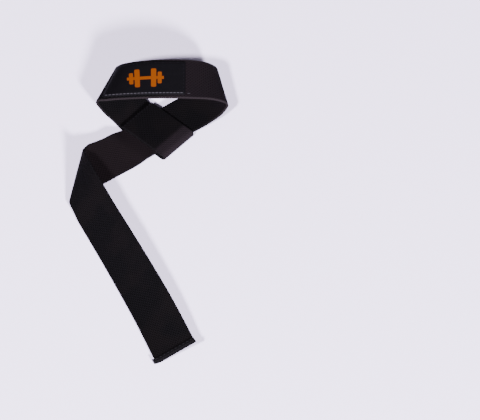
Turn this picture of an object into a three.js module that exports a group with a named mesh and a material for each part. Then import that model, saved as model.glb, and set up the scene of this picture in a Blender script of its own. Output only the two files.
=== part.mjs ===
import * as THREE from "three";

// A weightlifting strap as it lies on a table, in millimetres, +Z up.
// One length of cotton webbing makes the sewn sleeve, the wrist loop, the run threaded through the sleeve,
// the rolled fold and the tail. A patch is sewn on the wrist loop, and a binding closes the tail.
// The origin is under the middle of the sleeve, on the surface the strap lies on.

// Driving sizes
const webbing = { width: 38, thickness: 2.0, selvedge: 0.6 };
const layerGap = 0.3;
const sleeve = { heading: 137.5, threadOffset: 2.5, seamAllowance: 1.5 };
const threaded = { heading: 216.5, overhang: 1.5, landing: 10, leaving: 8 };
const loop = { span: 100, reach: 40, height: 30 };
const roll = { distance: 86, height: 23 };
const tail = { length: 164, heading: -66.8 };
const label = { length: 66, thickness: 0.6, clearance: 0.45, pastCrown: 15, nearMargin: 3.0, farMargin: 2.3 };
const hem = { depth: 1.6, wall: 0.8, overhang: 0.5 };
const mesh = { spacing: 4, foldSteps: 6, labelRows: 18 };

const radians = THREE.MathUtils.degToRad;
const layerPitch = webbing.thickness + layerGap;

// Unit vector from a heading on the table and a tilt out of it, both in degrees.
function direction(heading, tilt = 0) {
  const flat = Math.cos(radians(tilt));
  return new THREE.Vector3(
    flat * Math.cos(radians(heading)),
    flat * Math.sin(radians(heading)),
    Math.sin(radians(tilt)));
}

// Height of the middle of a layer of webbing, counted from 1 on the table.
function layerHeight(count) {
  return webbing.thickness / 2 + (count - 1) * layerPitch;
}

// A section of the strap: its middle, the way across it from the near edge to the far edge, and its skew,
// the angle by which that way slants from square across, so that the webbing keeps its width.
function section(place, { heading, tilt = 0, skew = 0, name = "" }) {
  return { place, across: direction(heading, tilt), stretch: 1 / Math.cos(radians(skew)), name };
}

// The threaded run crosses the sleeve at a slant, and the sleeve is as long as that slanted width needs.
const slant = radians(threaded.heading - 90 - sleeve.heading);
const slantedHalf = webbing.width / 2 / Math.cos(slant) + webbing.width / 2 * Math.abs(Math.tan(slant));
const foldCentre = sleeve.threadOffset - slantedHalf + webbing.thickness / 2;
const flapEnd = sleeve.threadOffset + slantedHalf + sleeve.seamAllowance;

function sleeveSection(along, height) {
  const place = direction(sleeve.heading).multiplyScalar(along);
  place.z = height;
  return section(place, { heading: sleeve.heading - 90 });
}

// The cut end of the sleeve's flap, the fold at its front, and the layer on the table.
function sleeveSections() {
  const rows = [
    sleeveSection(flapEnd, layerHeight(3)),
    sleeveSection(flapEnd / 2, layerHeight(3)),
    sleeveSection(foldCentre / 2, layerHeight(3)),
  ];
  for (let step = 0; step <= mesh.foldSteps; step += 1) {
    const turn = Math.PI * step / mesh.foldSteps;
    rows.push(sleeveSection(
      foldCentre - layerPitch * Math.sin(turn),
      layerHeight(2) + layerPitch * Math.cos(turn)));
  }
  rows.push(sleeveSection(foldCentre / 2, layerHeight(1)));
  rows.push(sleeveSection(flapEnd * 0.7, layerHeight(1)));
  rows.push(sleeveSection(flapEnd * 0.85, layerHeight(1)));
  return rows;
}

// The wrist loop, from the left arm over the crown to the right arm.
// x is a share of the loop's span, y of its reach and z of its height.
const wristRows = [
  { name: "left arm, lifting", x: -0.215, y: 0.495, z: 0.075, heading: 50, tilt: 0, skew: 2 },
  { name: "left arm", x: -0.295, y: 0.670, z: 0.20, heading: 54, tilt: 0, skew: 7 },
  { name: "left turn, under", x: -0.400, y: 0.870, z: 0.36, heading: 62, tilt: 0, skew: 14 },
  { name: "left turn", x: -0.462, y: 1.010, z: 0.61, heading: 65, tilt: 1, skew: 18 },
  { name: "left turn, over", x: -0.386, y: 0.970, z: 0.82, heading: 71.5, tilt: 6, skew: 16 },
  { name: "label", x: -0.120, y: 0.980, z: 0.94, heading: 80, tilt: 10, skew: 10 },
  { name: "crown", x: 0.070, y: 0.975, z: 0.97, heading: 86, tilt: 11, skew: 4 },
  { name: "plain band", x: 0.260, y: 0.970, z: 0.96, heading: 91, tilt: 10.5, skew: 2 },
  { name: "right turn, over", x: 0.450, y: 0.970, z: 0.85, heading: 98, tilt: 6, skew: 9 },
  { name: "right turn", x: 0.536, y: 0.960, z: 0.62, heading: 104, tilt: 2, skew: 15 },
  { name: "right turn, under", x: 0.480, y: 0.860, z: 0.36, heading: 109, tilt: 0, skew: 15 },
  { name: "right arm", x: 0.354, y: 0.670, z: 0.20, heading: 116, tilt: 0, skew: 10 },
];

function wristSections() {
  return wristRows.map((row) => section(
    new THREE.Vector3(row.x * loop.span, row.y * loop.reach, row.z * loop.height), row));
}

// Places along the threaded run are counted from the middle of the sleeve's crossing.
const threadStart = direction(sleeve.heading).multiplyScalar(sleeve.threadOffset);

function threadedPlace(along, side, height) {
  const place = threadStart.clone();
  place.addScaledVector(direction(threaded.heading), along);
  place.addScaledVector(direction(threaded.heading - 90), side);
  place.z = height;
  return place;
}

// The run lies on the sleeve's lower layer, and its near edge comes down to the table past it.
function threadedSections() {
  const square = { heading: threaded.heading - 90 };
  const leaving = { ...square, tilt: threaded.leaving };
  const clear = slantedHalf + threaded.overhang;
  const lift = webbing.width / 2 * Math.sin(radians(threaded.leaving));
  return [
    section(threadedPlace(-clear, 0, layerHeight(2)), square),
    section(threadedPlace(0, 0, layerHeight(2)), square),
    section(threadedPlace(clear, 0, layerHeight(2)), square),
    section(threadedPlace(clear + threaded.landing, 0, layerHeight(1) + lift), leaving),
  ];
}

// The rolled fold, pinched flat at its near end and open at its far end.
// along is a share of the distance from the crossing, side of the webbing's width, z of the roll's height.
const rollRows = [
  { along: 0.560, side: 0.01, z: 0.160, heading: 112, tilt: 8, skew: 14 },
  { along: 0.690, side: 0.02, z: 0.175, heading: 100, tilt: 8, skew: 27 },
  { along: 0.810, side: 0.03, z: 0.195, heading: 89, tilt: 8, skew: 38 },
  { along: 0.920, side: 0.03, z: 0.235, heading: 81, tilt: 8.5, skew: 45 },
  { along: 1.010, side: -0.04, z: 0.360, heading: 77, tilt: 13, skew: 41 },
  { along: 1.060, side: -0.24, z: 0.555, heading: 72, tilt: 23, skew: 36 },
  { along: 1.095, side: -0.50, z: 0.620, heading: 64, tilt: 33, skew: 27 },
  { along: 1.130, side: -0.83, z: 0.630, heading: 48, tilt: 41, skew: 16 },
];

function rollSections() {
  return rollRows.map((row) => section(
    threadedPlace(row.along * roll.distance, row.side * webbing.width, row.z * roll.height), row));
}

// The tail rests on its near edge and leans less and less towards its end.
// along is a share of its length, side of the webbing's width, tilt is in degrees, and hem is 1 where the
// tail rests on its binding rather than on the webbing.
const tailRows = [
  { along: 0.00, side: 0.00, tilt: 42, hem: 0 },
  { along: 0.22, side: 0.03, tilt: 39.5, hem: 0 },
  { along: 0.45, side: 0.05, tilt: 35, hem: 0 },
  { along: 0.72, side: 0.05, tilt: 28, hem: 0.5 },
  { along: 0.97, side: 0.01, tilt: 19.5, hem: 1 },
  { along: 1.00, side: 0.01, tilt: 19.5, hem: 1 },
];
const tailStart = { along: 1.315, side: -1.13 };

function tailSections() {
  const start = threadedPlace(tailStart.along * roll.distance, tailStart.side * webbing.width, 0);
  return tailRows.map((row) => {
    const across = direction(tail.heading + 90, row.tilt);
    const upright = new THREE.Vector3().crossVectors(direction(tail.heading), across);
    const place = start.clone();
    place.addScaledVector(direction(tail.heading), row.along * tail.length);
    place.addScaledVector(direction(tail.heading + 90), row.side * webbing.width);
    place.addScaledVector(across, webbing.width / 2 + row.hem * hem.overhang);
    place.addScaledVector(upright, webbing.thickness / 2 + row.hem * (layerGap + hem.wall));
    return section(place, { heading: tail.heading + 90, tilt: row.tilt });
  });
}

// Smooth curves through the sections, cut into short steps with their distance along the strap.
function strapFrames(sections) {
  const middle = new THREE.CatmullRomCurve3(sections.map((row) => row.place), false, "centripetal");
  const across = new THREE.CatmullRomCurve3(sections.map((row) => row.across), false, "catmullrom");
  const stretches = sections.map((row, index) => new THREE.Vector3(row.stretch, index, 0));
  const stretch = new THREE.CatmullRomCurve3(stretches, false, "catmullrom");
  const frames = [];
  let distance = 0;
  for (let index = 0; index < sections.length - 1; index += 1) {
    const gap = sections[index].place.distanceTo(sections[index + 1].place);
    const count = Math.max(1, Math.round(gap / mesh.spacing));
    for (let step = 0; step < count; step += 1) {
      frames.push((index + step / count) / (sections.length - 1));
    }
  }
  frames.push(1);
  return frames.map((share, index) => {
    const place = middle.getPoint(share);
    if (index > 0) {
      distance += place.distanceTo(middle.getPoint(frames[index - 1]));
    }
    const along = middle.getTangent(share);
    const crosswise = across.getPoint(share).normalize();
    const outward = new THREE.Vector3().crossVectors(along, crosswise).normalize();
    return { place, crosswise, outward, stretch: stretch.getPoint(share).x, distance, share };
  });
}

// The frame at a distance along the strap, between the two nearest frames.
function frameAt(frames, distance) {
  const after = Math.max(1, frames.findIndex((frame) => frame.distance >= distance));
  const low = frames[after - 1];
  const high = frames[after];
  const mix = (distance - low.distance) / (high.distance - low.distance);
  return {
    place: low.place.clone().lerp(high.place, mix),
    crosswise: low.crosswise.clone().lerp(high.crosswise, mix).normalize(),
    outward: low.outward.clone().lerp(high.outward, mix).normalize(),
    stretch: low.stretch + (high.stretch - low.stretch) * mix,
  };
}

// A closed band along the frames: a flat bar with cut corners, offset from the strap's middle.
function bandGeometry(frames, { width, thickness, corner, offset = 0, shift = 0 }) {
  const half = width / 2;
  const rise = thickness / 2;
  const outline = [
    [-half + corner, -rise], [half - corner, -rise], [half, -rise + corner], [half, rise - corner],
    [half - corner, rise], [-half + corner, rise], [-half, rise - corner], [-half, -rise + corner],
  ];
  const positions = [];
  const indices = [];
  frames.forEach((frame, row) => {
    for (const [sideways, up] of outline) {
      const point = frame.place.clone();
      point.addScaledVector(frame.crosswise, (sideways + shift) * frame.stretch);
      point.addScaledVector(frame.outward, up + offset);
      positions.push(point.x, point.y, point.z);
    }
    if (row === 0) {
      return;
    }
    outline.forEach((_, corner_) => {
      const next = (corner_ + 1) % outline.length;
      const back = (row - 1) * outline.length;
      const front = row * outline.length;
      indices.push(back + corner_, back + next, front + next);
      indices.push(back + corner_, front + next, front + corner_);
    });
  });
  const last = (frames.length - 1) * outline.length;
  for (let corner_ = 1; corner_ < outline.length - 1; corner_ += 1) {
    indices.push(0, corner_ + 1, corner_);
    indices.push(last, last + corner_, last + corner_ + 1);
  }
  const geometry = new THREE.BufferGeometry();
  geometry.setAttribute("position", new THREE.Float32BufferAttribute(positions, 3));
  geometry.setIndex(indices);
  geometry.computeVertexNormals();
  return geometry;
}

// The binding round the end of the tail: a channel whose slot holds the webbing.
function hemGeometry() {
  const inner = webbing.thickness / 2 + layerGap;
  const outer = inner + hem.wall;
  const profile = new THREE.Shape();
  profile.moveTo(-hem.depth, inner);
  profile.lineTo(layerGap, inner);
  profile.lineTo(layerGap, -inner);
  profile.lineTo(-hem.depth, -inner);
  profile.lineTo(-hem.depth, -outer);
  profile.lineTo(layerGap, -outer);
  profile.absarc(layerGap, 0, outer, -Math.PI / 2, Math.PI / 2, false);
  profile.lineTo(-hem.depth, outer);
  const length = webbing.width + 2 * hem.overhang;
  const geometry = new THREE.ExtrudeGeometry(profile, { depth: length, bevelEnabled: false, curveSegments: 8 });
  geometry.translate(0, 0, -length / 2);
  return geometry;
}

const cotton = new THREE.MeshStandardMaterial({ color: 0x1d1b1f, roughness: 0.9, metalness: 0 });
const satin = new THREE.MeshStandardMaterial({ color: 0x0e1018, roughness: 0.55, metalness: 0 });
const binding = new THREE.MeshStandardMaterial({ color: 0x2b292d, roughness: 0.85, metalness: 0 });

function addPiece(group, name, geometry, material) {
  const piece = new THREE.Mesh(geometry, material);
  piece.name = name;
  group.add(piece);
  return piece;
}

const sections = [
  ...sleeveSections(), ...wristSections(), ...threadedSections(), ...rollSections(), ...tailSections(),
];
const frames = strapFrames(sections);
const crownShare = sections.findIndex((row) => row.name === "crown") / (sections.length - 1);
const crown = frames.find((frame) => frame.share >= crownShare - 1e-9);

const strap = new THREE.Group();
addPiece(strap, "webbing", bandGeometry(frames, {
  width: webbing.width, thickness: webbing.thickness, corner: webbing.selvedge,
}), cotton);

const labelFrames = Array.from({ length: mesh.labelRows + 1 }, (_, row) => frameAt(
  frames, crown.distance + label.pastCrown - label.length * (1 - row / mesh.labelRows)));
addPiece(strap, "label_patch", bandGeometry(labelFrames, {
  width: webbing.width - label.nearMargin - label.farMargin,
  thickness: label.thickness,
  corner: label.thickness / 4,
  offset: webbing.thickness / 2 + label.clearance + label.thickness / 2,
  shift: (label.nearMargin - label.farMargin) / 2,
}), satin);

// The tail's last frame carries the binding, with its slot open towards the strap.
const end = frames[frames.length - 1];
const hemPiece = addPiece(strap, "tail_hem", hemGeometry(), binding);
const endwards = new THREE.Vector3().crossVectors(end.crosswise, end.outward);
const placing = new THREE.Matrix4().makeBasis(endwards, end.outward, end.crosswise.clone().negate());
hemPiece.quaternion.setFromRotationMatrix(placing);
hemPiece.position.copy(end.place);

export default strap;
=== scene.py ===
"""A weightlifting strap lying on a table: cotton webbing, a satin patch, stitching and a bound tail.

Every cloth piece is modelled flat, in millimetres, as it lies on the cutting table, and is then wrapped onto
the strap's route: x is across the webbing towards its far edge, y is along it, and z is out of its face.
"""

import logging
import math
from dataclasses import dataclass, field, replace
from enum import Enum
from typing import Callable, Iterable, Sequence

import bmesh
import bpy
import numpy as np
from mathutils import Matrix, Vector


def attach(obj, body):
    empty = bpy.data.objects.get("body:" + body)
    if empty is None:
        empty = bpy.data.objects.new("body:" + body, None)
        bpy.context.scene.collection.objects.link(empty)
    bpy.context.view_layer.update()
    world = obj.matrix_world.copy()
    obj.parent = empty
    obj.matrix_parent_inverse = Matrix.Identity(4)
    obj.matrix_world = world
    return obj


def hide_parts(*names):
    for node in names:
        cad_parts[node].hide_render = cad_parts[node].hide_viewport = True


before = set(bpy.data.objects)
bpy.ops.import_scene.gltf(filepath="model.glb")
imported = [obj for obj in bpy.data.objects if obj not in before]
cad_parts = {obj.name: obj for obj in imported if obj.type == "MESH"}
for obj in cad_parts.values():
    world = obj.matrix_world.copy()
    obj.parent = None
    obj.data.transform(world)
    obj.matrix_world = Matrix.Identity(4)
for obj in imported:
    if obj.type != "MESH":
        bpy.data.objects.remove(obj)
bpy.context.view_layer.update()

MM = 0.001
# Angles between two faces past which their edge is shaded sharp, and is a corner of the cut cloth.
SHARP_ANGLE = math.radians(50)
CORNER_ANGLE = 1.2
# Height of a thread's middle over the cloth it is sewn on, in millimetres.
THREAD_LIFT = 0.02
log = logging.getLogger("lifting_strap")


# Routes


class Pace(Enum):
    """How a curve's parameter is shared out between its points."""

    CENTRIPETAL = "by the root of the distance"
    UNIFORM = "equally"


@dataclass(frozen=True)
class SmoothCurve:
    """A Catmull-Rom curve through points of any dimension.

    Attributes:
        points: The points, one row each.
        pace: How the parameter is shared out.
    """

    points: np.ndarray
    pace: Pace

    def at(self, share: float) -> np.ndarray:
        """Gives the point at a share of the way through the curve's points.

        Args:
            share: From 0, the first point, to 1, the last.

        Returns:
            The point.
        """
        last = len(self.points) - 1
        position = min(max(share, 0.0), 1.0) * last
        index = min(int(position), last - 1)
        weight = position - index
        start = self.points[index]
        end = self.points[index + 1]
        before = self.points[index - 1] if index > 0 else 2 * start - end
        after = self.points[index + 2] if index + 2 <= last else 2 * end - start
        if self.pace is Pace.UNIFORM:
            leaving = (end - before) / 2
            arriving = (after - start) / 2
        else:
            first, middle, final = (
                math.sqrt(np.linalg.norm(b - a)) for a, b in ((before, start), (start, end), (end, after)))
            leaving = middle * (
                (start - before) / first - (end - before) / (first + middle) + (end - start) / middle)
            arriving = middle * (
                (end - start) / middle - (after - start) / (middle + final) + (after - end) / final)
        square = 3 * (end - start) - 2 * leaving - arriving
        cube = 2 * (start - end) + leaving + arriving
        return start + weight * (leaving + weight * (square + weight * cube))


def direction(heading: float, tilt: float = 0.0) -> np.ndarray:
    """Gives the unit vector of a heading on the table and a tilt out of it.

    Args:
        heading: Degrees from +X towards +Y.
        tilt: Degrees up from the table.

    Returns:
        The unit vector.
    """
    flat = math.cos(math.radians(tilt))
    return np.array([
        flat * math.cos(math.radians(heading)), flat * math.sin(math.radians(heading)),
        math.sin(math.radians(tilt))])


@dataclass(frozen=True)
class Section:
    """One section of the strap.

    Attributes:
        place: Its middle, in millimetres.
        heading: Degrees of the way across, towards the far edge.
        tilt: Degrees that the far edge is raised.
        skew: Degrees by which the way across slants from square.
        name: What the section is, where something is placed by it.
    """

    place: np.ndarray
    heading: float
    tilt: float = 0.0
    skew: float = 0.0
    name: str = ""


@dataclass
class StrapRoute:
    """The line that the webbing follows, with the sizes of the solid model.

    Attributes:
        width: Width of the webbing, in millimetres, as all sizes here are.
        thickness: Thickness of the webbing.
        gap: Air between layers.
        sleeve_heading: Degrees along the sewn sleeve.
        thread_offset: Place of the threaded run's middle along the sleeve.
        seam: Cloth past the threaded run at the flap's end.
        thread_heading: Degrees along the threaded run.
        overhang: Flat length of the run past the sleeve's edge.
        landing: Length in which it comes down to the table.
        leaving: Degrees that its far edge is raised there.
        span, reach, height: The wrist loop's box.
        roll_distance, roll_height: The rolled fold's place and height.
        tail_length, tail_heading: The tail's resting edge.
        hem_wall, hem_overhang: The tail's binding.
        fold_steps: Into how many steps the sleeve's fold is divided.
        sample_step: Distance between two samples of the route, about.
        marks: Distance along the webbing of each named section.
    """

    width: float = 38.0
    thickness: float = 2.0
    gap: float = 0.3
    sleeve_heading: float = 137.5
    thread_offset: float = 2.5
    seam: float = 1.5
    thread_heading: float = 216.5
    overhang: float = 1.5
    landing: float = 10.0
    leaving: float = 8.0
    span: float = 100.0
    reach: float = 40.0
    height: float = 30.0
    roll_distance: float = 86.0
    roll_height: float = 23.0
    tail_length: float = 164.0
    tail_heading: float = -66.8
    hem_wall: float = 0.8
    hem_overhang: float = 0.5
    fold_steps: int = 6
    sample_step: float = 0.5
    marks: dict[str, float] = field(default_factory=dict)

    # Name, x by the span, y by the reach, z by the height, then heading, tilt and skew.
    wrist_rows = (
        ("left arm, lifting", -0.215, 0.495, 0.075, 50, 0, 2),
        ("left arm", -0.295, 0.670, 0.20, 54, 0, 7),
        ("left turn, under", -0.400, 0.870, 0.36, 62, 0, 14),
        ("left turn", -0.462, 1.010, 0.61, 65, 1, 18),
        ("left turn, over", -0.386, 0.970, 0.82, 71.5, 6, 16),
        ("label", -0.120, 0.980, 0.94, 80, 10, 10),
        ("crown", 0.070, 0.975, 0.97, 86, 11, 4),
        ("plain band", 0.260, 0.970, 0.96, 91, 10.5, 2),
        ("right turn, over", 0.450, 0.970, 0.85, 98, 6, 9),
        ("right turn", 0.536, 0.960, 0.62, 104, 2, 15),
        ("right turn, under", 0.480, 0.860, 0.36, 109, 0, 15),
        ("right arm", 0.354, 0.670, 0.20, 116, 0, 10),
    )
    # Share of the roll's distance, side by the width, z by the roll's height, then heading, tilt and skew.
    roll_rows = (
        (0.560, 0.01, 0.160, 112, 8, 14),
        (0.690, 0.02, 0.175, 100, 8, 27),
        (0.810, 0.03, 0.195, 89, 8, 38),
        (0.920, 0.03, 0.235, 81, 8.5, 45),
        (1.010, -0.04, 0.360, 77, 13, 41),
        (1.060, -0.24, 0.555, 72, 23, 36),
        (1.095, -0.50, 0.620, 64, 33, 27),
        (1.130, -0.83, 0.630, 48, 41, 16),
    )
    # Share of the tail's length, side by the width, tilt, and how far it rests on its binding.
    tail_rows = (
        (0.00, 0.00, 42, 0),
        (0.22, 0.03, 39.5, 0),
        (0.45, 0.05, 35, 0),
        (0.72, 0.05, 28, 0.5),
        (0.97, 0.01, 19.5, 1),
        (1.00, 0.01, 19.5, 1),
    )
    # Where the tail starts: share of the roll's distance, and side by the width.
    tail_start = (1.315, -1.13)
    # Places on the sleeve's lower layer, as shares of the flap's end.
    lower_layer = (0.7, 0.85)

    def __post_init__(self) -> None:
        """Works out the sleeve's derived sizes and samples the route."""
        slant = math.radians(self.thread_heading - 90 - self.sleeve_heading)
        half = self.width / 2
        self.slanted_half = half / math.cos(slant) + half * abs(math.tan(slant))
        self.fold_centre = self.thread_offset - self.slanted_half + self.thickness / 2
        self.flap_end = self.thread_offset + self.slanted_half + self.seam
        self._sample()

    def layer(self, count: float) -> float:
        """Gives the height of the middle of a layer of webbing, counted from 1 on the table."""
        return self.thickness / 2 + (count - 1) * (self.thickness + self.gap)

    def sleeve_section(self, along: float, height: float, name: str = "") -> Section:
        """Gives a section of the sleeve.

        Args:
            along: Its distance along the sleeve from the origin.
            height: Height of the webbing's middle.
            name: What the section is.

        Returns:
            The section.
        """
        place = direction(self.sleeve_heading) * along
        place[2] = height
        return Section(place, self.sleeve_heading - 90, name=name)

    def threaded_place(self, along: float, side: float, height: float) -> np.ndarray:
        """Gives a place counted along the threaded run from the middle of the sleeve's crossing.

        Args:
            along: Distance along the run.
            side: Distance towards its far edge.
            height: Height over the table.

        Returns:
            The place.
        """
        place = direction(self.sleeve_heading) * self.thread_offset
        place = place + direction(self.thread_heading) * along
        place = place + direction(self.thread_heading - 90) * side
        place[2] = height
        return place

    def sleeve_sections(self) -> list[Section]:
        """Gives the flap, the fold at its front and the layer on the table.

        Returns:
            The sections in the strap's order.
        """
        rows = [
            self.sleeve_section(self.flap_end, self.layer(3)),
            self.sleeve_section(self.flap_end / 2, self.layer(3)),
            self.sleeve_section(self.fold_centre / 2, self.layer(3)),
        ]
        pitch = self.thickness + self.gap
        for step in range(self.fold_steps + 1):
            turn = math.pi * step / self.fold_steps
            rows.append(self.sleeve_section(
                self.fold_centre - pitch * math.sin(turn), self.layer(2) + pitch * math.cos(turn),
                "fold" if step * 2 == self.fold_steps else ""))
        for along in (self.fold_centre / 2, *(self.flap_end * share for share in self.lower_layer)):
            rows.append(self.sleeve_section(along, self.layer(1)))
        return rows

    def wrist_sections(self) -> list[Section]:
        """Gives the wrist loop, from the left arm over the crown to the right arm.

        Returns:
            The sections in the strap's order.
        """
        return [
            Section(np.array([x * self.span, y * self.reach, z * self.height]), heading, tilt, skew, name)
            for name, x, y, z, heading, tilt, skew in self.wrist_rows]

    def threaded_sections(self) -> list[Section]:
        """Gives the run through the sleeve and down to the table.

        Returns:
            The sections in the strap's order.
        """
        clear = self.slanted_half + self.overhang
        square = self.thread_heading - 90
        lift = self.width / 2 * math.sin(math.radians(self.leaving))
        return [
            Section(self.threaded_place(-clear, 0, self.layer(2)), square),
            Section(self.threaded_place(0, 0, self.layer(2)), square),
            Section(self.threaded_place(clear, 0, self.layer(2)), square),
            Section(
                self.threaded_place(clear + self.landing, 0, self.layer(1) + lift), square, self.leaving,
                name="run's end"),
        ]

    def roll_sections(self) -> list[Section]:
        """Gives the rolled fold, pinched at its near end and open at its far end.

        Returns:
            The sections in the strap's order.
        """
        return [
            Section(
                self.threaded_place(along * self.roll_distance, side * self.width, z * self.roll_height),
                heading, tilt, skew)
            for along, side, z, heading, tilt, skew in self.roll_rows]

    def tail_sections(self) -> list[Section]:
        """Gives the tail, which rests on its near edge.

        Returns:
            The sections in the strap's order.
        """
        along, side = self.tail_start
        start = self.threaded_place(along * self.roll_distance, side * self.width, 0.0)
        forward = direction(self.tail_heading)
        rows = []
        for share, sideways, tilt, hem in self.tail_rows:
            across = direction(self.tail_heading + 90, tilt)
            upright = np.cross(forward, across)
            place = start + forward * share * self.tail_length
            place = place + direction(self.tail_heading + 90) * sideways * self.width
            place = place + across * (self.width / 2 + hem * self.hem_overhang)
            place = place + upright * (self.thickness / 2 + hem * (self.gap + self.hem_wall))
            rows.append(Section(place, self.tail_heading + 90, tilt, name="tail" if share == 0 else ""))
        return rows

    def _sample(self) -> None:
        """Samples the route and marks its named sections."""
        sections = [
            *self.sleeve_sections(), *self.wrist_sections(), *self.threaded_sections(),
            *self.roll_sections(), *self.tail_sections()]
        middle = SmoothCurve(np.array([s.place for s in sections]), Pace.CENTRIPETAL)
        across = SmoothCurve(np.array([direction(s.heading, s.tilt) for s in sections]), Pace.UNIFORM)
        widen = SmoothCurve(np.array([[1 / math.cos(math.radians(s.skew))] for s in sections]), Pace.UNIFORM)
        last = len(sections) - 1
        shares = []
        for index in range(last):
            reach = np.linalg.norm(sections[index + 1].place - sections[index].place)
            count = max(2, round(reach / self.sample_step))
            shares.extend((index + step / count) / last for step in range(count))
        shares.append(1.0)
        self.places = np.array([middle.at(s) for s in shares])
        self.crosswise = np.array([across.at(s) for s in shares])
        self.crosswise /= np.linalg.norm(self.crosswise, axis=1)[:, None]
        self.stretch = np.array([widen.at(s)[0] for s in shares])
        self.tangents = np.gradient(self.places, axis=0)
        self.tangents /= np.linalg.norm(self.tangents, axis=1)[:, None]
        self.outward = np.cross(self.tangents, self.crosswise)
        self.outward /= np.linalg.norm(self.outward, axis=1)[:, None]
        self.lean = np.sum(self.crosswise * self.tangents, axis=1) * self.stretch
        steps = np.linalg.norm(np.diff(self.places, axis=0), axis=1)
        self.distances = np.concatenate([[0.0], np.cumsum(steps)])
        self.length = float(self.distances[-1])
        for index, section in enumerate(sections):
            if section.name:
                self.marks[section.name] = float(np.interp(index / last, shares, self.distances))

    def lean_at(self, along: np.ndarray) -> np.ndarray:
        """Gives how far a section leans along the webbing, for each millimetre across.

        Args:
            along: Distances along the webbing, in millimetres.

        Returns:
            The lean at each distance.
        """
        return np.interp(along, self.distances, self.lean)

    def square(self, cloth: np.ndarray) -> np.ndarray:
        """Turns places that were measured square on the webbing into places counted by its leaning sections.

        Args:
            cloth: One row for each point: across, along and out of the face, in millimetres.

        Returns:
            The points as wrap takes them.
        """
        flat = cloth.copy()
        # The lean is read at the place that is looked for, so it takes a few rounds.
        for _ in range(6):
            flat[:, 1] = cloth[:, 1] - cloth[:, 0] * self.lean_at(flat[:, 1])
        return flat

    def wrap(self, flat: np.ndarray) -> np.ndarray:
        """Carries flat cloth onto the route.

        Args:
            flat: One row for each point: across, along and out of the face, in millimetres.

        Returns:
            The points in the row frame, in metres.
        """
        along = np.clip(flat[:, 1], 0.0, self.length)
        past = flat[:, 1] - along

        def between(values: np.ndarray) -> np.ndarray:
            """Gives the route's values at the points' distances."""
            return np.stack([np.interp(along, self.distances, column) for column in values.T], axis=1)

        crosswise = between(self.crosswise)
        crosswise /= np.linalg.norm(crosswise, axis=1)[:, None]
        outward = between(self.outward)
        outward /= np.linalg.norm(outward, axis=1)[:, None]
        stretch = np.interp(along, self.distances, self.stretch)
        points = between(self.places) + between(self.tangents) * past[:, None]
        points += crosswise * (flat[:, 0] * stretch)[:, None]
        points += outward * flat[:, 2][:, None]
        return points * MM


# Finishes


def linear(hex_colour: int) -> tuple[float, float, float, float]:
    """Turns an sRGB hex value into a linear colour with full alpha.

    Args:
        hex_colour: Such as 0x1D1B1F.

    Returns:
        The linear red, green, blue and alpha.
    """
    parts = [((hex_colour >> shift) & 255) / 255 for shift in (16, 8, 0)]
    red, green, blue = (p / 12.92 if p <= 0.04045 else ((p + 0.055) / 1.055) ** 2.4 for p in parts)
    return red, green, blue, 1.0


def add_node(
    tree: bpy.types.NodeTree, kind: str, inputs: dict[int | str, object] | None = None, **settings: object,
) -> bpy.types.Node:
    """Adds a shader node with its settings, values and links.

    Args:
        tree: The material's node tree.
        kind: The node's type.
        inputs: Values for its sockets by name or number; a socket as the value is linked.
        settings: The node's own settings.

    Returns:
        The new node.
    """
    node = tree.nodes.new(kind)
    for name, value in settings.items():
        setattr(node, name, value)
    for name, value in (inputs or {}).items():
        if isinstance(value, bpy.types.NodeSocket):
            tree.links.new(value, node.inputs[name])
        else:
            node.inputs[name].default_value = value
    return node


@dataclass(frozen=True)
class Finish:
    """A finish of the strap, named for the real material.

    Attributes:
        name: The material's name.
        roughness: Roughness of its surface.
        gloss: Level of the mirror light, where 0.5 is that of smooth plastic.
    """

    name: str
    roughness: float
    gloss: float

    def material(self) -> bpy.types.Material:
        """Makes the material, or gives the one that is there.

        Returns:
            The material.
        """
        found = bpy.data.materials.get(self.name)
        if found:
            return found
        made = bpy.data.materials.new(self.name)
        made.use_nodes = True
        tree = made.node_tree
        shader = tree.nodes["Principled BSDF"]
        shader.inputs["Roughness"].default_value = self.roughness
        shader.inputs["Specular IOR Level"].default_value = self.gloss
        self.dress(tree, shader)
        return made

    def dress(self, tree: bpy.types.NodeTree, shader: bpy.types.Node) -> None:
        """Adds the finish's own pattern.

        Args:
            tree: The material's node tree.
            shader: The shader that the pattern goes to.
        """
        raise NotImplementedError


@dataclass(frozen=True)
class WearAndHighlightStrip:
    """A strip across the webbing in another colour: worn in some places, a painted highlight in others.

    Attributes:
        middle: Its middle, as a distance along the webbing, in millimetres.
        reach: Distance from the middle at which it has gone.
        colour: Its colour.
        share: How much of that colour shows in the middle.
    """

    middle: float
    reach: float
    colour: int
    share: float


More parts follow.
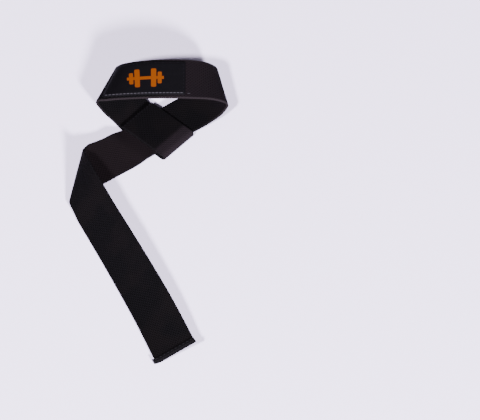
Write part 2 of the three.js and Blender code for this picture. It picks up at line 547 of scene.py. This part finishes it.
@dataclass(frozen=True)
class WovenCotton(Finish):
    """Cotton webbing, plain woven: matt, faintly ribbed across, with a denser selvedge.

    Attributes:
        dark: Colour between the threads.
        light: Colour on the threads.
        warm: Colour of the patches where the dye has turned brownish.
        warp: Spacing of the threads along the webbing, in millimetres.
        weft: Spacing of the ribs across it, in millimetres.
        relief: Height of the threads, in millimetres.
        ribs, fibre: Heights of the ribs and of the fibres, as shares of the threads' height.
        fibre_scale, dye_scale: Scales of the fibres and of the uneven dye, for each millimetre.
        selvedge, fade: Distance from the middle at which the edge begins, and how far it fades in.
        edge: Share of the threads' own colour at the edge.
        strips: Strips of another colour: worn strips and painted highlights.
        rim_highlight: The strip in which the selvedge is painted paler, a painted highlight, if there is
            one.
    """

    dark: int = 0x020202
    light: int = 0x090809
    warm: int = 0x090707
    warp: float = 1.4
    weft: float = 1.6
    relief: float = 0.35
    ribs: float = 0.6
    fibre: float = 1.6
    fibre_scale: float = 1.4
    dye_scale: float = 0.035
    selvedge: float = 17.9
    fade: float = 0.7
    edge: float = 0.6
    strips: tuple[WearAndHighlightStrip, ...] = ()
    rim_highlight: WearAndHighlightStrip | None = None

    def dress(self, tree: bpy.types.NodeTree, shader: bpy.types.Node) -> None:
        """Adds the weave, the uneven dye, the worn strips and the selvedge.

        Args:
            tree: The material's node tree.
            shader: The shader that the pattern goes to.
        """
        place = add_node(tree, "ShaderNodeUVMap", uv_map="cut")
        parts = add_node(tree, "ShaderNodeSeparateXYZ", {0: place.outputs[0]})

        def wave(source: bpy.types.NodeSocket, spacing: float) -> bpy.types.NodeSocket:
            """Gives a sine wave of a spacing in millimetres along one way of the cloth."""
            scaled = add_node(
                tree, "ShaderNodeMath", {0: source, 1: math.tau / spacing}, operation="MULTIPLY")
            return add_node(tree, "ShaderNodeMath", {0: scaled.outputs[0]}, operation="SINE").outputs[0]

        def tone_shift(strip: WearAndHighlightStrip) -> bpy.types.NodeSocket:
            """Gives the share of a strip's colour, for worn strips and painted highlights alike, which fades
            towards the strip's ends.
            """
            away = add_node(
                tree, "ShaderNodeMath", {0: parts.outputs["Y"], 1: strip.middle}, operation="SUBTRACT")
            reach = add_node(tree, "ShaderNodeMath", {0: away.outputs[0]}, operation="ABSOLUTE")
            return add_node(
                tree, "ShaderNodeMapRange",
                {"Value": reach.outputs[0], "From Min": strip.reach, "From Max": strip.reach * 0.5,
                 "To Max": strip.share},
                interpolation_type="SMOOTHSTEP").outputs[0]

        over = add_node(
            tree, "ShaderNodeMath",
            {0: wave(parts.outputs["X"], self.warp * 2), 1: wave(parts.outputs["Y"], self.weft * 2)},
            operation="MULTIPLY")
        cloth = add_node(
            tree, "ShaderNodeMath",
            {0: wave(parts.outputs["Y"], self.weft), 1: self.ribs, 2: over.outputs[0]},
            operation="MULTIPLY_ADD")
        fibre = add_node(
            tree, "ShaderNodeTexNoise",
            {"Vector": place.outputs[0], "Scale": self.fibre_scale, "Detail": 4.0})
        height = add_node(
            tree, "ShaderNodeMath", {0: fibre.outputs[0], 1: self.fibre, 2: cloth.outputs[0]},
            operation="MULTIPLY_ADD")
        bump = add_node(
            tree, "ShaderNodeBump",
            {"Strength": 0.55, "Distance": self.relief * MM, "Height": height.outputs[0]})
        tree.links.new(bump.outputs[0], shader.inputs["Normal"])
        # The heights of the weave run from about -0.6 to 2.4.
        lift = add_node(
            tree, "ShaderNodeMapRange",
            {"Value": height.outputs[0], "From Min": -0.6, "From Max": 2.4})
        threads = add_node(
            tree, "ShaderNodeMix", {0: lift.outputs[0], 6: linear(self.dark), 7: linear(self.light)},
            data_type="RGBA")
        dye = add_node(
            tree, "ShaderNodeTexNoise",
            {"Vector": place.outputs[0], "Scale": self.dye_scale, "Detail": 2.0})
        patch = add_node(
            tree, "ShaderNodeMapRange",
            {"Value": dye.outputs[0], "From Min": 0.45, "From Max": 0.62, "To Max": 0.55})
        dyed = add_node(
            tree, "ShaderNodeMix", {0: patch.outputs[0], 6: threads.outputs[2], 7: linear(self.warm)},
            data_type="RGBA")
        # Strips of another colour along the webbing: some are painted highlights.
        for strip in self.strips:
            dyed = add_node(
                tree, "ShaderNodeMix", {0: tone_shift(strip), 6: dyed.outputs[2], 7: linear(strip.colour)},
                data_type="RGBA")
        side = add_node(tree, "ShaderNodeMath", {0: parts.outputs["X"]}, operation="ABSOLUTE")
        rims = [(self.edge, self.light)]
        # Painted highlight: the selvedge painted paler round the loop's top, where its edges catch the
        # light.
        if self.rim_highlight:
            rims.append((tone_shift(self.rim_highlight), self.rim_highlight.colour))
        for share, colour in rims:
            edge = add_node(
                tree, "ShaderNodeMapRange",
                {"Value": side.outputs[0], "From Min": self.selvedge, "From Max": self.selvedge + self.fade,
                 "To Max": share})
            dyed = add_node(
                tree, "ShaderNodeMix", {0: edge.outputs[0], 6: dyed.outputs[2], 7: linear(colour)},
                data_type="RGBA")
        tree.links.new(dyed.outputs[2], shader.inputs["Base Color"])


@dataclass(frozen=True)
class SatinCloth(Finish):
    """Polyester satin: smooth, navy black, with a fine diagonal twill that shows only as a soft gloss.

    Attributes:
        dark: Colour between the floats.
        light: Colour on the floats.
        twill: Spacing of the diagonal, in millimetres.
        relief: Height of the floats, in millimetres.
        pucker: Height of the sewing's puckers, counted by the floats' height.
        pucker_scale: Scale of the puckers, for each millimetre.
    """

    dark: int = 0x030304
    light: int = 0x080708
    twill: float = 0.9
    relief: float = 0.2
    pucker: float = 4.0
    pucker_scale: float = 0.16

    def dress(self, tree: bpy.types.NodeTree, shader: bpy.types.Node) -> None:
        """Adds the twill and a little puckering from the sewing.

        Args:
            tree: The material's node tree.
            shader: The shader that the pattern goes to.
        """
        place = add_node(tree, "ShaderNodeUVMap", uv_map="cut")
        parts = add_node(tree, "ShaderNodeSeparateXYZ", {0: place.outputs[0]})
        diagonal = add_node(
            tree, "ShaderNodeMath", {0: parts.outputs["X"], 1: parts.outputs["Y"]}, operation="ADD")
        scaled = add_node(
            tree, "ShaderNodeMath", {0: diagonal.outputs[0], 1: math.tau / (self.twill * math.sqrt(2))},
            operation="MULTIPLY")
        floats = add_node(tree, "ShaderNodeMath", {0: scaled.outputs[0]}, operation="SINE")
        pucker = add_node(
            tree, "ShaderNodeTexNoise",
            {"Vector": place.outputs[0], "Scale": self.pucker_scale, "Detail": 1.5})
        height = add_node(
            tree, "ShaderNodeMath", {0: pucker.outputs[0], 1: self.pucker, 2: floats.outputs[0]},
            operation="MULTIPLY_ADD")
        bump = add_node(
            tree, "ShaderNodeBump",
            {"Strength": 0.35, "Distance": self.relief * MM, "Height": height.outputs[0]})
        tree.links.new(bump.outputs[0], shader.inputs["Normal"])
        shade = add_node(
            tree, "ShaderNodeMapRange", {"Value": floats.outputs[0], "From Min": -1.0, "From Max": 1.0})
        colour = add_node(
            tree, "ShaderNodeMix", {0: shade.outputs[0], 6: linear(self.dark), 7: linear(self.light)},
            data_type="RGBA")
        tree.links.new(colour.outputs[2], shader.inputs["Base Color"])


@dataclass(frozen=True)
class PlainCloth(Finish):
    """A finish of one colour with a fine grain: thread, printed ink or the matt table.

    Attributes:
        base: Its colour.
        tone_shift: The colour that it varies to.
        grain: Size of the grain, in millimetres.
        relief: Height of the grain, in millimetres.
        varied: Share of the worn colour at most.
    """

    base: int
    tone_shift: int
    grain: float = 0.5
    relief: float = 0.05
    varied: float = 0.5

    def dress(self, tree: bpy.types.NodeTree, shader: bpy.types.Node) -> None:
        """Adds the grain and the slow change of colour.

        Args:
            tree: The material's node tree.
            shader: The shader that the pattern goes to.
        """
        place = add_node(tree, "ShaderNodeTexCoord")
        grain = add_node(
            tree, "ShaderNodeTexNoise",
            {"Vector": place.outputs["Object"], "Scale": 1 / (self.grain * MM), "Detail": 3.0})
        bump = add_node(
            tree, "ShaderNodeBump",
            {"Strength": 0.5, "Distance": self.relief * MM, "Height": grain.outputs[0]})
        tree.links.new(bump.outputs[0], shader.inputs["Normal"])
        wear = add_node(
            tree, "ShaderNodeMapRange",
            {"Value": grain.outputs[0], "From Min": 0.35, "From Max": 0.7, "To Max": self.varied})
        colour = add_node(
            tree, "ShaderNodeMix", {0: wear.outputs[0], 6: linear(self.base), 7: linear(self.tone_shift)},
            data_type="RGBA")
        tree.links.new(colour.outputs[2], shader.inputs["Base Color"])


# Heavy cotton webbing, dyed black: matt, with fine ribs across it. The real threads are under 1 mm apart and
# are drawn coarser, so that they show.
COTTON_WEBBING = WovenCotton("woven_cotton_webbing", roughness=0.9, gloss=0.02)
# Thin cotton tape, dyed black: closer woven than the webbing, with threads a touch paler all over, a painted
# highlight for the light on its folded ridge.
COTTON_BINDING = WovenCotton(
    "woven_cotton_binding", roughness=0.85, gloss=0.02, dark=0x020202, light=0x0B0A0B, warm=0x080708,
    warp=1.2, weft=1.2, selvedge=19.3)
# Woven polyester satin, dyed navy black: smoother than the cotton, with a fine twill in place of ribs.
SATIN_PATCH = SatinCloth("polyester_satin", roughness=0.55, gloss=0.03)
# Spun polyester sewing thread: matt, mid grey on the patch's near edge, black elsewhere.
GREY_THREAD = PlainCloth("grey_polyester_thread", roughness=0.6, gloss=0.1, base=0x252426, tone_shift=0x333234)
BLACK_THREAD = PlainCloth("black_polyester_thread", roughness=0.6, gloss=0.05, base=0x070608, tone_shift=0x110F12)
# Screen printing ink, cured on the satin: an even, matt orange film that takes the cloth's grain.
ORANGE_INK = PlainCloth(
    "orange_screen_ink", roughness=0.7, gloss=0.05, base=0x542600, tone_shift=0x4A2000, grain=0.8, relief=0.04,
    varied=0.4)
# Matt paper on the table: pale with a cool cast, with no gloss.
TABLE_PAPER = PlainCloth(
    "matt_white_paper", roughness=0.9, gloss=0.1, base=0xE4DCEF, tone_shift=0xE2DAED, grain=2.0, relief=0.01)


# Cloth pieces


def flat_slab(
    width: float, length: float, thickness: float, step: float, start: float = 0.0, middle: float = 0.0,
    bottom: float = 0.0,
) -> bmesh.types.BMesh:
    """Cuts a closed slab of cloth, flat, in millimetres.

    Args:
        width: Its size across.
        length: Its size along.
        thickness: Its thickness.
        step: Size of a mesh square.
        start: Where it begins along.
        middle: Where its middle lies across.
        bottom: Height of its lower face.

    Returns:
        The slab, with its long way along y.
    """
    slab = bmesh.new()
    columns = max(1, round(width / step))
    rows = max(1, round(length / step))
    bmesh.ops.create_grid(slab, x_segments=columns, y_segments=rows, size=0.5)
    bmesh.ops.scale(slab, vec=(width, length, 1.0), verts=slab.verts)
    bmesh.ops.translate(slab, vec=(middle, start + length / 2, bottom), verts=slab.verts)
    lower = list(slab.faces)
    raised = bmesh.ops.extrude_face_region(slab, geom=lower, use_keep_orig=True)
    corners = [item for item in raised["geom"] if isinstance(item, bmesh.types.BMVert)]
    bmesh.ops.translate(slab, vec=(0.0, 0.0, thickness), verts=corners)
    bmesh.ops.recalc_face_normals(slab, faces=slab.faces)
    return slab


def round_edges(slab: bmesh.types.BMesh, offset: float, segments: int, rise: float = -1.0) -> None:
    """Rounds the corner edges of a slab.

    Args:
        slab: The slab.
        offset: Size of the rounding, in millimetres.
        segments: How many faces round each edge.
        rise: Least height from one end of an edge to the other, where only upright edges are rounded.
    """
    corners = [
        edge for edge in slab.edges
        if abs(edge.verts[0].co.z - edge.verts[1].co.z) > rise and edge.calc_face_angle(0.0) > CORNER_ANGLE]
    bmesh.ops.bevel(
        slab, geom=corners, offset=offset, offset_type="OFFSET", segments=segments, profile=0.5,
        affect="EDGES", material=-1)


@dataclass
class ClothPiece:
    """What every sewn piece has: the route it follows and the way it is finished.

    Attributes:
        route: The strap's route.
        step: Size of a mesh square, in millimetres.
        rounding: Rounding of the cut edges, in millimetres.
    """

    route: StrapRoute
    step: float = 1.0
    rounding: float = 0.3

    def finish_piece(
        self, name: str, flat: bmesh.types.BMesh, look: Finish,
        bend: Callable[[np.ndarray], np.ndarray] | None = None,
    ) -> bpy.types.Object:
        """Wraps flat cloth onto the route and makes it a piece of the strap.

        Args:
            name: The piece's name.
            flat: The flat cloth, in millimetres.
            look: Its finish.
            bend: Moves the flat points before they are wrapped, if the piece is folded first.

        Returns:
            The finished object, riding on the strap.
        """
        flat.verts.index_update()
        points = np.array([vertex.co for vertex in flat.verts])
        lean = self.route.lean_at(points[:, 1])
        outer = np.abs(points[:, 0]).max()
        layer = flat.loops.layers.uv.new("cut")
        for face in flat.faces:
            for loop in face.loops:
                x, y, z = loop.vert.co
                edge = max(0.0, 1.0 - (outer - abs(x)) / self.route.thickness)
                loop[layer].uv = (x + math.copysign(z * edge, x), y + x * lean[loop.vert.index])
        wrapped = self.route.wrap(points if bend is None else bend(points))
        for vertex, place in zip(flat.verts, wrapped):
            vertex.co = place
        bmesh.ops.recalc_face_normals(flat, faces=flat.faces)
        mesh = bpy.data.meshes.new(name)
        flat.to_mesh(mesh)
        flat.free()
        mesh.shade_smooth()
        mesh.set_sharp_from_angle(angle=SHARP_ANGLE)
        mesh.materials.append(look.material())
        piece = bpy.data.objects.new(name, mesh)
        bpy.context.scene.collection.objects.link(piece)
        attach(piece, "root")
        log.info("%s: %d faces", name, len(mesh.polygons))
        return piece

    def sew(
        self, name: str, lines: Iterable[Sequence[tuple[float, float, float]]], look: Finish,
        stitch: float = 2.6, pause: float = 0.9, thread: float = 0.55,
        bend: Callable[[np.ndarray], np.ndarray] | None = None,
    ) -> bpy.types.Object:
        """Sews straight rows of stitches, each a slightly flat bead of thread that dips into the cloth.

        Args:
            name: The piece's name.
            lines: The rows, each a list of corners in flat millimetres.
            look: The thread's finish.
            stitch: Length of a stitch.
            pause: Distance between two stitches.
            thread: Width of the thread.
            bend: As in finish_piece.

        Returns:
            One object that holds all the stitches.
        """
        rows = bmesh.new()
        for line in lines:
            for start, end in zip(line, line[1:]):
                first, last = Vector(start), Vector(end)
                reach = (last - first).length
                count = max(1, int((reach + pause) / (stitch + pause)))
                turn = math.atan2(-(last - first).x, (last - first).y)
                for index in range(count):
                    centre = first.lerp(last, (index + 0.5) / count)
                    place = Matrix.Translation(centre) @ Matrix.Rotation(turn, 4, "Z")
                    shape = Matrix.Diagonal((thread / 2, stitch / 2, thread * 0.42, 1.0))
                    bmesh.ops.create_icosphere(rows, subdivisions=1, radius=1.0, matrix=place @ shape)
        return self.finish_piece(name, rows, look, bend)


@dataclass
class Webbing(ClothPiece):
    """The one long strap of cotton webbing.

    Attributes:
        seam_inset: Distance of the sleeve's seam from the flap's end, in millimetres.
        seam_margin: Distance of the seam's ends from the edges, in millimetres.
        highlight_offset: Distance from the sleeve's fold, on the flap, of the middle of a paler strip, a
            painted highlight where the fold's rounded front faces the light.
    """

    step: float = 1.9
    rounding: float = 0.75
    seam_inset: float = 1.1
    seam_margin: float = 1.5
    highlight_offset: float = 5.0

    def build(self) -> bpy.types.Object:
        """Returns:
            The webbing.
        """
        route = self.route
        half = route.thickness / 2
        slab = flat_slab(route.width, route.length, route.thickness, self.step, bottom=-half)
        round_edges(slab, self.rounding, 3)
        look = replace(COTTON_WEBBING, strips=(
            # Painted highlight: a paler strip on the flap where the sleeve's rounded fold faces the light.
            WearAndHighlightStrip(route.marks["fold"] - self.highlight_offset, 9.0, 0x141012, 0.8),
            # Painted highlight: a paler brownish band on the loop's right part, towards its right turn,
            # where it faces the light.
            WearAndHighlightStrip(route.marks["plain band"] + 10, 45.0, 0x0F0B0D, 0.6),
            WearAndHighlightStrip(route.marks["run's end"], 60.0, 0x0E0A0B, 0.7),
        # Painted highlight along the selvedge round the loop's crown.
        ), rim_highlight=WearAndHighlightStrip(route.marks["crown"], 90.0, 0x1C1819, 0.6))
        band = self.finish_piece("webbing_band", slab, look)
        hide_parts("webbing")
        return band

    def sew_sleeve(self) -> bpy.types.Object:
        """Sews the flap down at its end.

        Returns:
            The stitches.
        """
        route = self.route
        reach = route.width / 2 - self.seam_margin
        lift = route.thickness / 2 + THREAD_LIFT
        row = [(-reach, self.seam_inset, lift), (reach, self.seam_inset, lift)]
        return self.sew("sleeve_stitches", [row], BLACK_THREAD)


@dataclass
class Patch(ClothPiece):
    """The satin patch on the wrist loop, with its stitching and its printed pictogram.

    Attributes:
        length: Its size along the webbing, in millimetres.
        width: Its size across.
        past_crown: How far it reaches past the loop's crown.
        towards_far: How far its middle lies from the webbing's middle, towards the far edge.
        top: Height of its face over the webbing's middle.
        pressed: How far the sewn edge is pressed down.
        soft: Distance from the edge at which the cloth is flat again.
        inset: Distance of the stitches from the edge.
        tack: Where the grey thread's last stitch starts and ends, past the row.
        print_share: Place of the print's middle, as a share of the length.
        film: Thickness of the print.
    """

    rounding: float = 0.28
    length: float = 66.0
    width: float = 32.7
    past_crown: float = 15.0
    towards_far: float = 0.35
    top: float = 2.05
    pressed: float = 0.55
    soft: float = 3.2
    inset: float = 1.5
    tack: tuple[float, float] = (3.4, 5.2)
    print_share: float = 0.48
    film: float = 0.1

    def face(self, points: np.ndarray) -> np.ndarray:
        """Presses the cloth down towards its sewn edges.

        Args:
            points: Flat points, in millimetres.

        Returns:
            The points with their height changed.
        """
        moved = points.copy()
        sideways = self.width / 2 - np.abs(points[:, 0] - self.towards_far)
        middle = self.start + self.length / 2
        endways = self.length / 2 - np.abs(points[:, 1] - middle)
        inward = np.clip(np.minimum(sideways, endways) / self.soft, 0.0, 1.0)
        base = self.route.thickness / 2
        above = np.clip((points[:, 2] - base) / (self.top - base), 0, None)
        moved[:, 2] -= above * self.pressed * (1 - inward) ** 2
        return moved

    @property
    def start(self) -> float:
        """Where the patch begins along the webbing."""
        return self.route.marks["crown"] + self.past_crown - self.length

    def build(self) -> bpy.types.Object:
        """Builds the patch.

        Returns:
            The patch.
        """
        base = self.route.thickness / 2
        slab = flat_slab(
            self.width, self.length, self.top - base, self.step, self.start, self.towards_far, base)
        round_edges(slab, self.rounding, 2)
        patch = self.finish_piece("satin_patch", slab, SATIN_PATCH, self.face)
        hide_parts("label_patch")
        return patch

    def sew_down(self) -> list[bpy.types.Object]:
        """Sews the patch on, with grey thread along its near edge and black thread round the rest.

        Returns:
            The grey row, with its end stitch on the webbing, and the black rows.
        """
        low = self.towards_far - self.width / 2 + self.inset
        high = self.towards_far + self.width / 2 - self.inset
        first = self.start + self.inset
        last = self.start + self.length - self.inset
        height = self.top + THREAD_LIFT
        end = self.route.thickness / 2 + THREAD_LIFT
        grey = [
            [(low, first, height), (low, last, height)],
            [(low, last + along, end) for along in self.tack],
        ]
        black = [[(low, first, height), (high, first, height), (high, last, height), (low, last, height)]]
        return [
            self.sew("patch_near_stitches", grey, GREY_THREAD, pause=0.25, bend=self.face),
            self.sew("patch_stitches", black, BLACK_THREAD, bend=self.face),
        ]

    def print_pictogram(self) -> bpy.types.Object:
        """Prints a plain dumbbell: a bar, two large plates and two small ones.

        Returns:
            The printed film.
        """
        middle = self.start + self.length * self.print_share
        # Each shape's place along the webbing, its size along and across, and the rounding of its corners.
        shapes = [(0.0, 9.6, 3.0, 0.2)]
        for side in (-1, 1):
            shapes += [
                (side * 7.1, 4.5, 18.0, 1.6), (side * 9.95, 1.1, 3.0, 0.1), (side * 12.3, 3.5, 11.5, 1.4),
                (side * 15.0, 1.8, 3.0, 0.5)]
        film = bmesh.new()
        for along, length, width, corner in shapes:
            start = middle + along - length / 2
            plate = flat_slab(width, length, self.film, self.step, start, self.towards_far, self.top)
            round_edges(plate, corner, 4, self.film / 2)
            joined = bpy.data.meshes.new("plate")
            plate.to_mesh(joined)
            plate.free()
            film.from_mesh(joined)
            bpy.data.meshes.remove(joined)
        return self.finish_piece(
            "printed_pictogram", film, ORANGE_INK, lambda points: self.face(self.route.square(points)))


@dataclass
class TailHem(ClothPiece):
    """The binding folded round the cut end of the tail.

    Attributes:
        lip: How far its lips reach up the webbing, in millimetres.
        overhang: How far it is wider than the webbing on each side.
        wall: Thickness of the binding.
        corner: Size of the near corner, where the end is tucked in.
        corner_shift: How far the corner stands out sideways, is drawn back, and is raised off the face.
        row_inset: Distance of the stitches from the lips.
        row_margin: Distance of their ends from the webbing's edges.
    """

    step: float = 0.8
    rounding: float = 0.35
    lip: float = 1.6
    overhang: float = 0.5
    wall: float = 0.8
    corner: float = 4.0
    corner_shift: tuple[float, float, float] = (-1.3, -0.9, 0.45)
    row_inset: float = 0.9
    row_margin: float = 0.5

    @property
    def radius(self) -> float:
        """Distance of the binding's inner face from the webbing's middle."""
        return self.route.thickness / 2 + self.route.gap

    @property
    def developed(self) -> float:
        """Length of the binding before it was folded, measured on its inner face."""
        return 2 * (self.lip + self.route.gap) + math.pi * self.radius

    def fold(self, points: np.ndarray) -> np.ndarray:
        """Folds the flat binding round the tail's end.

        Args:
            points: Flat points: across, along the unfolded binding from 0, and out of its inner face.

        Returns:
            Points in the strap's own flat measures.
        """
        moved = points.copy()
        straight = self.lip + self.route.gap
        arc = math.pi * self.radius
        end = self.route.length + self.route.gap
        for index, (_, along, out) in enumerate(points):
            reach = self.radius + out
            if along < straight:
                moved[index, 1] = end - straight + along
                moved[index, 2] = reach
            elif along > straight + arc:
                moved[index, 1] = end - (along - straight - arc)
                moved[index, 2] = -reach
            else:
                turn = (along - straight) / self.radius
                moved[index, 1] = end + reach * math.sin(turn)
                moved[index, 2] = reach * math.cos(turn)
        inside = self.route.width / 2 - self.corner
        tucked = np.clip((-points[:, 0] - inside) / self.corner, 0.0, 1.0) ** 2
        return moved + tucked[:, None] * np.array(self.corner_shift)

    def build(self) -> bpy.types.Object:
        """Builds the binding.

        Returns:
            The binding.
        """
        width = self.route.width + 2 * self.overhang
        slab = flat_slab(width, self.developed, self.wall, self.step)
        round_edges(slab, self.rounding, 2)
        hem = self.finish_piece("tail_binding", slab, COTTON_BINDING, self.fold)
        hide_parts("tail_hem")
        return hem

    def sew_down(self) -> bpy.types.Object:
        """Sews the binding through, near its lips, with one row that shows on both faces.

        Returns:
            The stitches.
        """
        reach = self.route.width / 2 - self.row_margin
        height = self.wall + THREAD_LIFT
        rows = [
            [(-reach, along, height), (reach, along, height)]
            for along in (self.row_inset, self.developed - self.row_inset)]
        return self.sew("binding_stitches", rows, BLACK_THREAD, bend=self.fold)


# Studio


@dataclass
class Studio:
    """The table, the lights and the camera.

    Attributes:
        aim: The point on the table at the middle of the picture, in metres.
        elevation: The camera's angle above the table, in degrees.
        distance: The camera's distance, in metres.
        frame_width: Width of the table seen at the aim, in metres.
        table_reach: Half of the table's width, in metres.
        lamp_distance: The lamps' distance from the strap, in metres.
        lamp_size: The lamps' diameter, in metres.
    """

    aim: tuple[float, float, float] = (0.0692, -0.083, 0.0)
    elevation: float = 51.0
    distance: float = 10.0
    frame_width: float = 0.412
    table_reach: float = 3.0
    lamp_distance: float = 6.0
    lamp_size: float = 0.7

    def lay_table(self) -> None:
        """Lays a large matt table under the strap."""
        sheet = bmesh.new()
        bmesh.ops.create_grid(sheet, x_segments=2, y_segments=2, size=self.table_reach)
        mesh = bpy.data.meshes.new("table")
        sheet.to_mesh(mesh)
        sheet.free()
        mesh.materials.append(TABLE_PAPER.material())
        table = bpy.data.objects.new("table", mesh)
        bpy.context.scene.collection.objects.link(table)

    def light(self, name: str, towards: tuple[float, float, float], power: float, colour: int) -> None:
        """Hangs a soft light.

        Args:
            name: The light's name.
            towards: Direction from the strap to the light.
            power: Its power, in watts.
            colour: Its colour.
        """
        data = bpy.data.lights.new(name, "AREA")
        data.shape = "DISK"
        data.size = self.lamp_size
        data.energy = power
        data.color = linear(colour)[:3]
        lamp = bpy.data.objects.new(name, data)
        way = Vector(towards).normalized()
        lamp.location = Vector((0.0, -0.1, 0.0)) + way * self.lamp_distance
        lamp.rotation_euler = (-way).to_track_quat("-Z", "Y").to_euler()
        bpy.context.scene.collection.objects.link(lamp)

    def surround(self, colour: int, strength: float) -> None:
        """Fills the room with even light.

        Args:
            colour: The light's colour.
            strength: Its strength.
        """
        world = bpy.data.worlds.new("room")
        world.use_nodes = True
        back = world.node_tree.nodes["Background"]
        back.inputs["Color"].default_value = linear(colour)
        back.inputs["Strength"].default_value = strength
        bpy.context.scene.world = world

    def place_camera(self) -> None:
        """Places the camera at the picture's angle."""
        data = bpy.data.cameras.new("camera")
        data.sensor_width = 36.0
        data.lens = data.sensor_width * self.distance / self.frame_width
        camera = bpy.data.objects.new("camera", data)
        rise = math.radians(self.elevation)
        back = Vector((0.0, -math.cos(rise), math.sin(rise)))
        camera.location = Vector(self.aim) + back * self.distance
        camera.rotation_euler = (math.radians(90 - self.elevation), 0.0, 0.0)
        data.clip_start = 0.05
        data.clip_end = 25.0
        bpy.context.scene.collection.objects.link(camera)
        bpy.context.scene.camera = camera

    def build(self) -> None:
        """Builds the whole studio."""
        self.lay_table()
        self.light("front_right_softbox", (0.824, -2.047, 1.0), 2050.0, 0xF4EFFF)
        self.light("left_lamp", (-0.49, -0.91, 1.0), 1330.0, 0xF4EFFF)
        self.surround(0xEDE8FA, 0.22)
        self.place_camera()


def main() -> None:
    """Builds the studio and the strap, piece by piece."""
    logging.basicConfig(level=logging.INFO, format="%(name)s: %(message)s")
    Studio().build()
    route = StrapRoute()
    webbing = Webbing(route)
    band = webbing.build()
    sleeve_stitches = webbing.sew_sleeve()
    patch = Patch(route)
    satin = patch.build()
    patch_stitches = patch.sew_down()
    pictogram = patch.print_pictogram()
    hem = TailHem(route)
    binding = hem.build()
    binding_stitches = hem.sew_down()
    bpy.context.view_layer.update()


if __name__ == "__main__":
    main()
